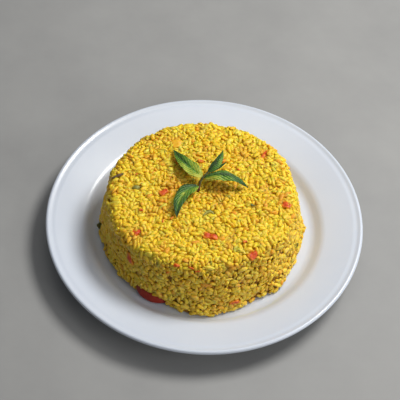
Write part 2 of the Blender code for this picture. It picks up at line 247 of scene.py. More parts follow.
def valueNoise(points, size, seed):
    # random values -1 to 1 on a cubic lattice of that size, blended smoothly
    table = np.random.default_rng(seed).uniform(-1, 1, 4096)
    scaled = points / size
    cell = np.floor(scaled).astype(np.int64)
    t = scaled - cell
    return sum(share * table[(i * 73856093 ^ j * 19349663 ^ k * 83492791) % len(table)]
               for (i, j, k), share in cellCorners(cell, t * t * (3 - 2 * t)))


# Camera, at the photograph's angle

view = dict(sensor=36.0, fieldDegrees=18.0, elevationDegrees=52.04, rollDegrees=3.32, distance=1.0753,
            target=(-0.00475, 0.03459, 0.0))


def makeCamera():
    camera = addObject("camera", bpy.data.cameras.new("camera"))
    camera.data.sensor_width = view['sensor']
    camera.data.lens = view['sensor'] / 2 / tan(radians(view['fieldDegrees'] / 2))
    rise, roll = radians(view['elevationDegrees']), radians(view['rollDegrees'])
    forward = Vector((0, cos(rise), -sin(rise)))
    right = Vector((1, 0, 0))
    upward = right.cross(forward)
    turned = right * cos(roll) + upward * sin(roll)
    above = upward * cos(roll) - right * sin(roll)
    axes = Matrix((turned, above, -forward)).transposed().to_4x4()
    camera.matrix_world = Matrix.Translation(Vector(view['target']) - forward * view['distance']) @ axes
    bpy.context.scene.camera = camera


# Studio: pale floor, sky, a soft light from the back right, weaker ones from the front right and above

studio = dict(floorSize=3.0, horizon=0.126, zenith=0.22, skyColour=(0.93, 0.96, 1.0, 1.0),
              lampColour=(1.0, 0.985, 0.955))
lamps = dict(key=dict(bearing=32.0, elevation=56.0, distance=1.3, wide=0.60, tall=0.41, watts=15.1),
             side=dict(bearing=-33.0, elevation=26.0, distance=1.8, wide=1.3, tall=0.8, watts=10.6),
             above=dict(bearing=84.0, elevation=76.0, distance=1.8, wide=1.2, tall=0.6, watts=2.7))


def makeLight(name, bearing, elevation, distance, wide, tall, watts):
    bearing, rise = radians(bearing), radians(elevation)
    toLight = Vector((cos(bearing) * cos(rise), sin(bearing) * cos(rise), sin(rise)))
    lamp = bpy.data.lights.new(name, 'AREA')
    lamp.shape = 'ELLIPSE'
    lamp.size, lamp.size_y = wide, tall
    lamp.energy = watts
    lamp.color = studio['lampColour']
    light = addObject(name, lamp)
    light.location = toLight * distance
    light.rotation_mode = 'QUATERNION'
    light.rotation_quaternion = toLight.to_track_quat('Z', 'Y')


def makeStudio():
    scene = bpy.context.scene
    scene.view_settings.view_transform = 'Standard'
    world = bpy.data.worlds.new("studio")
    world.use_nodes = True
    tree = world.node_tree
    sky = tree.nodes["Background"]
    sky.inputs[0].default_value = studio['skyColour']
    upward = Wire(tree, tree.nodes.new('ShaderNodeTexCoord').outputs['Generated']).height()
    upward = upward.maths('MAXIMUM', upward, 0.0)
    plug(tree, sky.inputs[1], studio['horizon'] + studio['zenith'] * upward * upward * upward * upward)
    scene.world = world
    for name, settings in lamps.items():
        makeLight(name, **settings)

    def paintFloor(place):
        mottle = place.noise(0.07, 5.0, 0.6)
        return {'Base Color': mottle.ramp((0.3, (0.272, 0.272, 0.269)), (0.7, (0.312, 0.312, 0.307))),
                'Roughness': 0.55 + mottle * 0.2}

    half = studio['floorSize'] / 2
    mesh = bpy.data.meshes.new("floor")
    corners = [(-half, -half, 0), (half, -half, 0), (half, half, 0), (-half, half, 0)]
    mesh.from_pydata(corners, [], [(0, 1, 2, 3)])
    mesh.materials.append(surface("paleFloor", paintFloor))
    floor = addObject("floor", mesh)


# Plate: a half section turned round the z axis

plate = dict(radius=130.0, floor=8.0, wall=4.8, wellRadius=86.3, wellCurve=10.0, wellSlope=41.0, wellWall=3.4,
             shoulder=13.0, rimSlope=15.0, bead=1.9, beadHeight=21.0, beadStart=122.0, grooveWidth=1.9,
             grooveDepth=0.85, grooveEdge=2.8, footOutside=75.0, footWidth=4.5, hub=1.5, turns=384)


def arc(middle, radius, start, end, steps):
    angles = np.radians(np.linspace(start, end, steps))
    return np.stack([middle[0] + radius * np.cos(angles), middle[1] + radius * np.sin(angles)], -1)


def rounded(line, rounds):
    # corners cut off again and again, the ends kept
    for _ in range(rounds):
        cut = np.stack([line[:-1] * 0.75 + line[1:] * 0.25, line[:-1] * 0.25 + line[1:] * 0.75], 1)
        line = np.concatenate([line[:1], cut.reshape(-1, 2), line[-1:]])
    return line


def plateSection():
    # radius and height: floor, well, wall, shoulder, rim, groove, bead, underside, foot
    p = plate
    slope, rim = radians(p['wellSlope']), radians(p['rimSlope'])
    floorLine = np.stack([np.linspace(p['hub'], p['wellRadius'] - 1, 34), np.full(34, p['floor'])], -1)
    well = arc((p['wellRadius'], p['floor'] + p['wellCurve']), p['wellCurve'], -90, p['wellSlope'] - 90, 14)
    top = well[-1] + p['wellWall'] * np.array([cos(slope), sin(slope)])
    middle = top + p['shoulder'] * np.array([sin(slope), -cos(slope)])
    shoulder = arc(middle, p['shoulder'], 90 + p['wellSlope'], 90 + p['rimSlope'], 12)
    bead = arc((p['radius'] - p['bead'], p['beadHeight']), p['bead'], p['beadStart'], -80, 20)
    groove = bead[0] - [p['grooveWidth'], p['grooveDepth']]
    rimEnd = groove - [p['grooveEdge'], p['grooveEdge'] * sin(rim) / 2]
    t = np.linspace(0, 1, 14)[1:, None]
    rimLine = shoulder[-1] * (1 - t) + rimEnd * t
    lip = rounded(np.concatenate([rimLine[-2:], [groove], bead[:3]]), 3)
    under = p['floor'] - p['wall']
    underRim = shoulder[-1] + p['wall'] * np.array([sin(rim), -0.8])
    underWall = well[-1] + p['wall'] * np.array([sin(slope), -cos(slope)])
    below = np.linspace(bead[-1], underRim, 8)[1:]
    wallLine = np.linspace(underRim, underWall, 6)[1:]
    base = np.linspace(underWall, (p['wellRadius'], under), 5)[1:]
    out, inside = p['footOutside'], p['footOutside'] - p['footWidth']
    foot = [(out + 0.8, under), (out + 0.3, 1.0), (out - 0.2, 0.25), (out - 0.9, 0.0),
            (inside + 0.9, 0.0), (inside + 0.2, 0.25), (inside - 0.3, 1.0), (inside - 0.8, under)]
    inner = np.stack([np.linspace(inside - 2, p['hub'], 10), np.full(10, under)], -1)
    return np.concatenate([floorLine, well[1:], [top], shoulder[1:], rimLine[:-2], lip, bead[3:],
                           below, wallLine, base, foot, inner])


def makePlate():
    section = plateSection()
    angles = np.linspace(0, 2 * pi, plate['turns'], endpoint=False)[None]
    points = closedTube(aroundAxis(section[:, :1], angles, section[:, 1:]))

    def paintGlaze(place):
        cloud = place.noise(0.035, 2.0)
        bare = (0.0009 - place.height()).between(0.0, 0.0004)
        white = cloud.ramp((0.35, (0.585, 0.635, 0.725)), (0.65, (0.60, 0.65, 0.735)))
        # a little oil has run out of the rice at the front right
        far = place.distance((0.045, -0.081, 0.009)).between(0.012, 0.046)
        ring = place.distance((0.0, 0.0, 0.009)) + place.noise(0.020, 2.0) * 0.010 - 0.005
        oil = ring.between(0.0905, 0.0920) * (1.0 - ring.between(0.0922, 0.0950)) * (1.0 - far)
        oiled = (oil * 0.32).blend(white, (0.60, 0.63, 0.36))
        return {'Base Color': bare.blend(oiled, (0.60, 0.585, 0.55)),
                'Roughness': 0.26 + cloud * 0.08 + bare * 0.4,
                'Normal': cloud.bump(0.0006, 0.10)}

    glaze = surface("whiteGlaze", paintGlaze, Specular_IOR_Level=0.55, Coat_Weight=0.10, Coat_Roughness=0.09)
    addPiece("plateGlazed", points, tubeFaces(len(section), plate['turns']), glaze, ["plate"])
    print("plate:", len(points), "points")


# Heap of rice: its outline, as in the solid

heap = dict(middle=(-2.8, -1.8, 8.3), baseRadius=84.4, topRadius=76.6, height=51.0, edge=8.0,
            clumpSize=13.0, clumpHeight=1.1)
# bearing, half angle, height above the foot, half height, distance outwards
bulges = ((-88, 18, 0, 15, 2.4), (-39, 8, 0, 14, 2.8), (0, 4, 11, 5, 4.4), (-58, 9, 0, 20, -1.6),
          (-153, 20, 0, 22, -1.4), (-115, 15, 0, 7, -6.0), (-68, 20, 51, 14, -5.5), (-138, 18, 51, 14, 2.4),
          (12, 11, 51, 14, -2.2), (40, 14, 51, 14, 1.6), (105, 40, 51, 16, -1.4))
heapMiddle = np.array(heap['middle'])
# where the round edge begins, on the top and on the side
edgeRadius, edgeHeight = heap['topRadius'] - heap['edge'], heap['height'] - heap['edge']
clumpLow = np.array([-100.0, -100.0, -6.0])
clumpStep = 3.25
clumpField = np.array([[[noise.noise(Vector((x, y, z)) / heap['clumpSize'])
                         for z in np.arange(clumpLow[2], 66, clumpStep)]
                        for y in np.arange(clumpLow[1], 103, clumpStep)]
                       for x in np.arange(clumpLow[0], 103, clumpStep)])


def bulgeAt(bearing, radius, height):
    # distance outwards: the sum of bell shapes over bearing and height, less towards the middle
    out = np.zeros(np.broadcast(bearing, height).shape)
    for middle, halfAngle, level, halfHeight, distance in bulges:
        turn = (bearing - middle + 180) % 360 - 180
        out = out + distance * np.exp(-(turn / halfAngle) ** 2 - ((height - level) / halfHeight) ** 2)
    return out * (radius / heap['topRadius']) ** 2


def clumpAt(local):
    share = np.clip(local[..., 2] / heap['clumpSize'], 0, 1)
    return readField(clumpField, clumpLow, clumpStep, local) * share * heap['clumpHeight']


def heapSection():
    # radius and height of the half section, and the distance along it from the middle of the top
    lean = atan2(heap['baseRadius'] - heap['topRadius'], edgeHeight)
    edge = arc((edgeRadius, edgeHeight), heap['edge'], 90, degrees(lean), 9)
    corners = np.concatenate([[(0.0, heap['height'])], edge, [(heap['baseRadius'], 0.0)]])
    along = np.concatenate([[0.0], np.cumsum(np.hypot(*np.diff(corners, axis=0).T))])
    return along, corners[:, 0], corners[:, 1]


def skinAt(along, bearing):
    # places on the skin and the outward normals there; bearing in degrees
    corners, radii, heights = heapSection()
    radius, height = np.interp(along, corners, radii), np.interp(along, corners, heights)
    widening = np.interp(along + 1, corners, radii) - np.interp(along - 1, corners, radii)
    rise = np.interp(along + 1, corners, heights) - np.interp(along - 1, corners, heights)
    slant = np.hypot(widening, rise)
    radius = radius + bulgeAt(bearing, radius, height)
    x, y = np.cos(np.radians(bearing)), np.sin(np.radians(bearing))
    local = np.stack([x * radius, y * radius, height], -1)
    normal = np.stack([-x * rise / slant, -y * rise / slant, widening / slant], -1)
    return local + normal * clumpAt(local)[..., None] + heapMiddle, normal


def heapDepth(points):
    # depth under the skin and the outward normal: a leaning side and a level top joined by a round
    # edge; the bulges move the side, the clumps move the skin along its normal
    local = points - heapMiddle
    radius = np.hypot(local[:, 0], local[:, 1]) + 1e-9
    height = local[:, 2]
    bearing = np.degrees(np.arctan2(local[:, 1], local[:, 0]))
    shift = bulgeAt(bearing, radius, height)
    lean = (heap['baseRadius'] - heap['topRadius']) / edgeHeight
    wall = heap['baseRadius'] - lean * np.minimum(height, edgeHeight)
    out = radius - shift - (wall - heap['edge'])
    up = height - edgeHeight
    corner = np.stack([np.maximum(out, 0), np.maximum(up, 0)], -1)
    reach = np.hypot(corner[:, 0], corner[:, 1])
    depth = heap['edge'] - reach - np.minimum(np.maximum(out, up), 0) + clumpAt(local)
    side = np.where(reach[:, None] > 0, corner / (reach[:, None] + 1e-9),
                    np.where((out > up)[:, None], [1.0, 0.0], [0.0, 1.0]))
    around = local[:, :2] / radius[:, None]
    return depth, np.concatenate([around * side[:, :1], side[:, 1:]], -1)


def skinAxes(bearing, along, turn):
    # place on the skin, and three axes there, turned about the last: round the heap, up the heap and
    # outwards, or on the top to the right, to the back and upwards
    place, outward = skinAt(np.array([along]), np.array([bearing]))
    place, outward = place[0], outward[0]
    across = np.array([-sin(radians(bearing)), cos(radians(bearing)), 0.0])
    if outward[2] > 0.9:
        across = np.array([1.0, 0.0, 0.0])
    upward = unit(np.cross(outward, across))
    across = np.cross(upward, outward)
    c, s = cos(radians(turn)), sin(radians(turn))
    return place, np.stack([across * c + upward * s, upward * c - across * s, outward])


# Pieces in the heap: bearing, distance along the skin, length, width, depth, turn, taper

dice = dict(proud=0.5, herbProud=3.0, roundness=0.34, uneven=0.85, curve=0.012,
            pepper=((-80, 46.5, 12.0, 5.5, 4.5, -12, 0.75), (-54, 75.5, 10.0, 6.0, 4.5, 14, 0.55),
                    (-8, 67.5, 7.5, 6.0, 4.5, -25, 0.8), (-138, 64.5, 7.0, 5.5, 4.0, 30, 0.6),
                    (-173, 31.4, 8.5, 5.0, 4.0, 48, 0.8), (-133, 92.0, 10.5, 5.0, 4.0, -68, 0.85),
                    (-69, 116.0, 8.0, 5.0, 4.0, 8, 0.7), (41, 63.0, 10.0, 3.0, 3.5, 68, 0.7)),
            carrot=(116, 53.5, 9.0, 8.0, 5.0, 10, 0.9),
            herb=(-174, 116.0, 7.5, 3.6, 5.0, 80, 0.6))
# bearing, distance along the skin, half length, half width, half depth, turn, bend, how far it stands proud
pebbles = dict(slice=(-74, 22.0, 5.2, 1.5, 2.4, 4, 0.16, 1.6), bean=(180, 53.5, 3.5, 2.3, 2.3, 12, 0.0, 0.5),
               stick=(172.5, 69.4, 5.6, 1.1, 1.1, 26, 0.0, 1.7))


def cutBlock(shape, proud, seed, rings=26, sides=40):
    # block with rounded edges: along its length t its width and depth fall off as
    # (1 - |t|^8)^(1/5); round it they follow powers of cosine and sine; lumps by noise
    bearing, along, length, width, depth, turn, taper = shape
    place, axes = skinAxes(bearing, along, turn)
    t, angle = roundBody(rings, sides)
    power = dice['roundness']
    narrow = 1 - (1 - taper) * np.clip(t + 0.5, 0, 1)
    reach = (1 - np.abs(t) ** 8) ** 0.2
    y = blunted(np.cos(angle), power) * reach * narrow * width / 2
    z = blunted(np.sin(angle), power) * reach * depth / 2
    local = np.stack([np.broadcast_to(t * length / 2, y.shape), y, z], -1)
    shift = np.array([seed * 31.7, seed * 11.3, 0.0])
    lumps = valueNoise(local + shift, 2.6, 21) * dice['uneven'] + valueNoise(local + shift, 1.2, 22) * 0.12
    local = local * (1 + lumps[..., None] / np.array([length, width, depth]) * 2)
    # the cut block curves a little, as the wall of a pepper does
    local[..., 2] -= dice['curve'] * local[..., 0] ** 2
    points = closedTube(local)
    shades = {'skin': (points[:, 2] / depth + 0.5).clip(0, 1),
              'rim': np.hypot(points[:, 0] / length, points[:, 1] / width) * 2}
    points[:, 2] += proud - depth / 2
    return place + points @ axes, tubeFaces(rings, sides), shades


def pebble(shape, rings=22, sides=24):
    # long oval, bent sideways by bend times the square of the distance from its middle
    bearing, along, halfLength, halfWidth, halfDepth, turn, bend, proud = shape
    place, axes = skinAxes(bearing, along, turn)
    t, angle = roundBody(rings, sides)
    reach = np.sqrt(1 - t ** 2)
    x = np.broadcast_to(t * halfLength, (rings, sides))
    y = reach * np.cos(angle) * halfWidth - bend * x ** 2
    local = np.stack([x, y, reach * np.sin(angle) * halfDepth], -1)
    local = local * (1 + valueNoise(local, 2.0, 23) * 0.08)[..., None]
    points = closedTube(local)
    edge = ((points[:, 1] + bend * points[:, 0] ** 2) / halfWidth * 0.5 + 0.5).clip(0, 1)
    points[:, 2] += proud - halfDepth
    return place + points @ axes, tubeFaces(rings, sides), edge


def makeVegetables():
    def paintPepper(place):
        skin, rim = place.attribute('skin'), place.attribute('rim')
        mottle = place.noise(0.0022, 3.0, 0.6)
        red = mottle.ramp((0.3, (0.44, 0.030, 0.006)), (0.55, (0.64, 0.085, 0.012)),
                          (0.72, (0.78, 0.22, 0.020)))
        outer = (rim + mottle * 0.8 - 0.4).between(0.65, 1.30).blend(red, (0.84, 0.32, 0.024))
        flesh = mottle.ramp((0.3, (0.62, 0.15, 0.018)), (0.7, (0.78, 0.28, 0.040)))
        return {'Base Color': skin.between(0.25, 0.75).blend(flesh, outer),
                'Roughness': 0.46 - skin * 0.12 + mottle * 0.1,
                'Normal': (mottle + place.noise(0.0008) * 0.25).bump(0.0005, 0.5)}

    def paintSkin(place):
        mottle = place.noise(0.0030, 3.0, 0.6)
        return {'Base Color': mottle.ramp((0.3, (0.27, 0.012, 0.005)), (0.7, (0.42, 0.030, 0.009))),
                'Roughness': 0.30 + mottle * 0.12,
                'Normal': (mottle + place.noise(0.0008) * 0.2).bump(0.0005, 0.4)}

    def paintCarrot(place):
        mottle = place.noise(0.0025, 4.0, 0.6)
        return {'Base Color': mottle.ramp((0.3, (0.74, 0.36, 0.008)), (0.7, (0.80, 0.48, 0.014))),
                'Roughness': 0.32 + mottle * 0.2, 'Normal': mottle.bump(0.0006, 0.6)}

    def paintHerb(place):
        edge = place.attribute('skin')
        mottle = place.noise(0.0018, 4.0, 0.65)
        rind = mottle.ramp((0.3, (0.06, 0.07, 0.010)), (0.7, (0.15, 0.155, 0.022)))
        flesh = mottle.ramp((0.3, (0.32, 0.30, 0.05)), (0.7, (0.48, 0.46, 0.10)))
        return {'Base Color': edge.between(0.35, 0.65).blend(flesh, rind),
                'Roughness': 0.34 + mottle * 0.2, 'Normal': mottle.bump(0.0006, 0.6)}

    def paintStick(place):
        streak = place.noise(0.0009, 4.0, 0.7)
        return {'Base Color': streak.ramp((0.3, (0.05, 0.030, 0.012)), (0.7, (0.17, 0.10, 0.035))),
                'Roughness': 0.5 + streak * 0.2, 'Normal': streak.bump(0.0006, 0.7)}

    pepper = surface("redPepper", paintPepper, Subsurface_Weight=0.15, Subsurface_Scale=0.001,
                     Subsurface_Radius=(1.0, 0.3, 0.1), Specular_IOR_Level=0.3)
    carrot = surface("carrot", paintCarrot, Subsurface_Weight=0.2, Subsurface_Scale=0.001,
                     Subsurface_Radius=(1.0, 0.4, 0.1))
    herb = surface("greenVegetable", paintHerb)
    stick = surface("dryHerb", paintStick)
    for number, shape in enumerate(dice['pepper'], start=1):
        points, faces, shades = cutBlock(shape, dice['proud'], seed=number)
        replaced = ["pepper_dice_" + str(number)]
        addPiece("pepperPiece" + str(number), points, faces, pepper, replaced, shades)
    points, faces, _ = cutBlock(dice['carrot'], dice['proud'], seed=9)
    addPiece("carrotPiece", points, faces, carrot, ["carrot_dice"])
    points, faces, _ = cutBlock(dice['herb'], dice['herbProud'], seed=10)
    addPiece("herbPiece", points, faces, herb, ["herb_piece"], {'skin': np.ones(len(points))})
    points, faces, edge = pebble(pebbles['slice'])
    addPiece("greenSlice", points, faces, herb, ["green_slice"], {'skin': edge})
    points, faces, _ = pebble(pebbles['bean'])
    addPiece("beanPiece", points, faces, herb, ["bean_piece"], {'skin': np.full(len(points), 0.5)})
    points, faces, _ = pebble(pebbles['stick'])
    addPiece("herbStick", points, faces, stick, ["herb_stick"])
    makeStrip(surface("pepperSkin", paintSkin, Specular_IOR_Level=0.4))
    print("vegetables: done")
    return pepper, herb


# Strip of pepper at the foot of the heap, skin outwards

strip = dict(middle=(-31.1, -51.6), curve=23.5, bearing=-106.0, halfLength=17.0, halfHeight=5.4,
             halfThickness=2.6, lean=30.0, lowest=8.05, spotHeight=13.6, rings=72, sides=44)


def makeStrip(material):
    # flat oval section leaning in at its top, carried round an upright axis, thin at both ends
    s = strip
    lean = radians(s['lean'])
    t, angle = roundBody(s['rings'], s['sides'])
    reach = np.sqrt(1 - np.abs(t) ** 2.3)
    thick = blunted(np.cos(angle), 0.8) * s['halfThickness'] * reach
    tall = blunted(np.sin(angle), 0.9) * s['halfHeight'] * reach
    out = thick * cos(lean) - tall * sin(lean)
    up = tall * cos(lean) + thick * sin(lean)
    run = t * s['halfLength'] * np.ones_like(angle)
    turn = radians(s['bearing']) + run / s['curve']
    level = heapMiddle[2] + hypot(s['halfHeight'] * cos(lean), s['halfThickness'] * sin(lean))
    local = np.stack([run, out, up], -1)
    ripple = valueNoise(local, 5.0, 31) * 0.28 + valueNoise(local, 2.0, 32) * 0.08
    height = np.maximum(level + up + ripple * 0.5, s['lowest'])
    points = aroundAxis(s['curve'] + out + ripple * reach, turn, height) + [*s['middle'], 0.0]
    addPiece("pepperStrip", closedTube(points), tubeFaces(s['rings'], s['sides']), material,
             ["pepper_strip"])


# Rice: two layers of grains packed under the skin of the heap, the lower one half sunk in a core

rice = dict(seed=11, upper=2600, lower=2300, upperDepth=(1.0, 2.2), lowerDepth=(2.9, 4.0),
            length=7.6, lengthSpread=1.2, lengths=(5.0, 10.4), width=4.1, widthSpread=0.48, widths=(3.1, 5.2),
            coreDepth=2.4, coreTurns=400, spotShare=0.28)
# where grains are tried and how often, sphere radius by width, how flat they lie at first; passes, how often
# and how far neighbours are looked for; the strength of each push, the least depth and height
packing = dict(box=((-95.0, -93.0, 9.3), (93.0, 92.0, 61.0)), depths=(0.3, 5.2), trials=16, sphere=0.34,
               flatFirst=0.74, passes=56, renewed=14, near=9.2, apart=0.25, offPiece=0.7, toDepth=1.2,
               flatter=0.1, leastDepth=0.15, lowest=8.1)
# one grain: places of its rings, then how blunt, tapered, tilted, uneven, bent, flat, dented and lumpy it is
grain = dict(rings=(-0.88, -0.52, 0.0, 0.52, 0.88), sides=7, blunt=(1.7, 2.9), taper=0.22, tilt=0.55,
             uneven=0.17, bend=0.8, flat=(0.68, 0.92), dent=0.28, lump=0.22)
# places where the rice is painted browner, and how far: the first three lie under the mint leaves and paint
# their shade, the last two are brown stains
brownStainsAndLeafShade = ((-26.5, 1.5, 59, 18), (9.5, -1.5, 59, 17), (-34, -21, 59, 12), (-54, -49, 59, 13),
           (28, 38, 59, 10))


def blockSpots(shape, proud):
    # two rows of spheres along a block, that keep the grains off it
    bearing, along, length, width, depth, turn, _ = shape
    place, axes = skinAxes(bearing, along, turn)
    size = min(width, depth) * rice['spotShare']
    x = np.arange(-length / 2 + size, length / 2 - size + 0.1, size * 1.1)
    y = np.linspace(-width / 2 + size, width / 2 - size, 2)
    return [(place + np.array([a, b, proud - depth / 2]) @ axes, size) for a in x for b in y]


def keepClear():
    spots = []
    for shape in (*dice['pepper'], dice['carrot']):
        spots += blockSpots(shape, dice['proud'])
    spots += blockSpots(dice['herb'], dice['herbProud'])
    for bearing, along, halfLength, halfWidth, halfDepth, turn, bend, proud in pebbles.values():
        place, axes = skinAxes(bearing, along, turn)
        for x in np.linspace(-halfLength * 0.75, halfLength * 0.75, 6):
            spots.append((place + np.array([x, -bend * x ** 2, proud - halfDepth]) @ axes, halfWidth))
    for bearing, along, length, width, turn in flecks['red'] + flecks['orange'] + flecks['green']:
        place, axes = skinAxes(bearing, along, turn)
        for x in (-length * 0.22, length * 0.22):
            spots.append((place + np.array([x, 0.0, flecks['proud'] - 0.6]) @ axes, width * 0.42))
    s = strip
    for run in np.linspace(-0.8, 0.9, 15):
        turn = radians(s['bearing']) + run * s['halfLength'] / s['curve']
        tall = s['halfHeight'] * (1 - run ** 2) ** 0.5
        for share in (-0.5, -0.1, 0.3):
            radius = s['curve'] - tall * share * sin(radians(s['lean']))
            x, y = s['middle'][0] + radius * cos(turn), s['middle'][1] + radius * sin(turn)
            spots.append((np.array([x, y, s['spotHeight'] + tall * share]), s['halfThickness']))
    for place in (stemPath[0], stemPath[0] * 0.6 + stemPath[1] * 0.4, stemPath[1]):
        spots.append((place, mint['stemRoom']))
    return spots


def packGrains(obstacles):
    # strewn at random under the skin, then pushed apart and turned until they lie together, each drawn
    # to a depth of its own and laid a little flatter; a grain is three spheres, at its ends and its middle
    random = np.random.default_rng(rice['seed'])
    count = rice['upper'] + rice['lower']
    trial = random.uniform(*packing['box'], (count * packing['trials'], 3))
    depth, _ = heapDepth(trial)
    shallowest, deepest = packing['depths']
    inside = (depth > shallowest) & (depth < deepest)
    centre = trial[inside][:count][np.argsort(depth[inside][:count])]
    count = len(centre)
    wanted = np.concatenate([random.uniform(*rice['upperDepth'], rice['upper']),
                             random.uniform(*rice['lowerDepth'], count - rice['upper'])])
    length = random.normal(rice['length'], rice['lengthSpread'], count).clip(*rice['lengths'])
    width = random.normal(rice['width'], rice['widthSpread'], count).clip(*rice['widths'])
    _, normal = heapDepth(centre)
    axis = random.normal(size=(count, 3))
    axis = unit(axis - partAlong(axis, normal) * packing['flatFirst'])
    radius = width * packing['sphere']
    half = np.maximum(length / 2 - radius, 0.2)
    share = np.array([-1.0, 0.0, 1.0])[None, :, None]
    for step in range(packing['passes']):
        if step % packing['renewed'] == 0:
            tree = kdtree.KDTree(count)
            for index, place in enumerate(centre):
                tree.insert(place, index)
            tree.balance()
            pairs = np.array([(index, other) for index, place in enumerate(centre)
                              for _, other, _ in tree.find_range(place, packing['near']) if other > index])
        first, second = pairs.T
        spots = axis[:, None] * share * half[:, None, None] + centre[:, None]
        gap = spots[first][:, :, None] - spots[second][:, None]
        distance = np.linalg.norm(gap, axis=-1) + 1e-6
        push = np.maximum((radius[first] + radius[second])[:, None, None] - distance, 0) / distance
        push = push[..., None] * gap * packing['apart']
        move = np.zeros((count, 3, 3))
        for spot in range(3):
            for side in range(3):
                move[:, spot, side] = (np.bincount(first, push[:, spot, :, side].sum(1), count)
                                       - np.bincount(second, push[:, :, spot, side].sum(1), count))
        for place, size in obstacles:
            away = spots - place
            distance = np.linalg.norm(away, axis=-1, keepdims=True) + 1e-6
            overlap = np.maximum(size + radius[:, None, None] - distance, 0)
            move += overlap * away / distance * packing['offPiece']
        moved = (spots + move).reshape(-1, 3)
        depth, normal = heapDepth(moved)
        push = np.maximum(packing['leastDepth'] - depth, 0)
        push[1::3] += (wanted - depth[1::3]) * packing['toDepth']
        inward = -normal * push[:, None]
        inward[:, 2] += np.maximum(packing['lowest'] + np.repeat(radius, 3) - moved[:, 2], 0)
        move += inward.reshape(count, 3, 3)
        centre = centre + move.mean(1)
        axis = axis + (move[:, 2] - move[:, 0]) / (2 * half[:, None] + 1.0)
        axis = unit(axis - partAlong(axis, normal[1::3]) * packing['flatter'])
    return centre, axis, length, width


def grainPoints(centre, axis, length, width):
    # rings along a slightly bent axis, blunt at both ends, pressed flat a little and dented
    random = np.random.default_rng(rice['seed'] + 1)
    count, rings, sides = len(centre), len(grain['rings']), grain['sides']
    uneven, bent, t = grain['uneven'], grain['bend'], np.array(grain['rings'])
    blunt = random.uniform(*grain['blunt'], (count, 1))
    taper = random.uniform(-grain['taper'], grain['taper'], (count, 1))
    profile = (1 - np.abs(t[None]) ** blunt) ** 0.5 * (1 + taper * t[None])
    _, normal = heapDepth(centre)
    thick = normal + random.normal(0, grain['tilt'], (count, 3))
    thick = unit(thick - partAlong(thick, axis))
    broad = np.cross(thick, axis)
    angle = (np.arange(sides) * 2 * pi / sides + random.uniform(0, 1, (count, 1)))[:, None]
    reach = profile[:, :, None] * (1 + random.uniform(-uneven, uneven, (count, rings, sides)))
    reach = reach * (width / 2)[:, None, None]
    bend = random.uniform(-bent, bent, (count, 1))
    across = reach * np.cos(angle) + (bend * t[None] ** 2)[:, :, None]
    above = reach * np.sin(angle) * random.uniform(*grain['flat'], (count, 1, 1))
    dent = random.uniform(0.0, grain['dent'], (count, 1, 1))
    above = above * (1 - dent * np.exp(-(t / 0.6) ** 2)[None, :, None])
    along = (length / 2)[:, None] * t[None]
    points = (centre[:, None, None] + axis[:, None, None] * along[:, :, None, None]
              + broad[:, None, None] * across[..., None] + thick[:, None, None] * above[..., None])
    for side, seed in ((broad, 51), (thick, 52)):
        points = points + side[:, None, None] * (valueNoise(points, 2.6, seed) * grain['lump'])[..., None]
    ends = np.array([-1.0, 1.0])[None, :, None]
    tips = (centre[:, None] + axis[:, None] * (length / 2)[:, None, None] * ends
            + broad[:, None] * bend[:, :, None])
    return np.concatenate([points.reshape(count, -1, 3), tips], 1)


def makeCore(material):
    # half section turned round, then all but its foot moved in along the normal, with small lumps
    turns, footRings = rice['coreTurns'], 8
    flatPart = np.stack([np.linspace(0.8, edgeRadius, 60), np.full(60, heap['height'])], -1)
    edge = arc((edgeRadius, edgeHeight), heap['edge'], 90, 8, 9)
    side = np.stack([np.linspace(edge[-1][0], heap['baseRadius'], 36), np.linspace(edge[-1][1], 0.4, 36)], -1)
    foot = np.stack([np.linspace(heap['baseRadius'] - 6, 2.0, footRings), np.zeros(footRings)], -1)
    section = np.concatenate([flatPart, edge[1:], side[1:], foot])
    bearing = np.linspace(0, 360, turns, endpoint=False)[None]
    radius, height = section[:, :1], section[:, 1:]
    radius = radius + bulgeAt(bearing, radius, height)
    points = aroundAxis(radius, np.radians(bearing), height).reshape(-1, 3) + heapMiddle
    _, normal = heapDepth(points)
    sunk = rice['coreDepth'] - 0.5 * normal[:, 2].clip(0, 1) ** 2
    sunk += valueNoise(points, 2.7, 5) * 0.4 + valueNoise(points, 1.2, 6) * 0.2
    sunk[-turns * footRings:] = 0
    points = points - normal * sunk[:, None]
    points[:, 2] = np.maximum(points[:, 2], heapMiddle[2])
    shape = closedTube(points.reshape(len(section), turns, 3))
    addPiece("riceCore", shape, tubeFaces(len(section), turns), material, ["rice_heap"])
    print("rice: core", len(shape), "points")


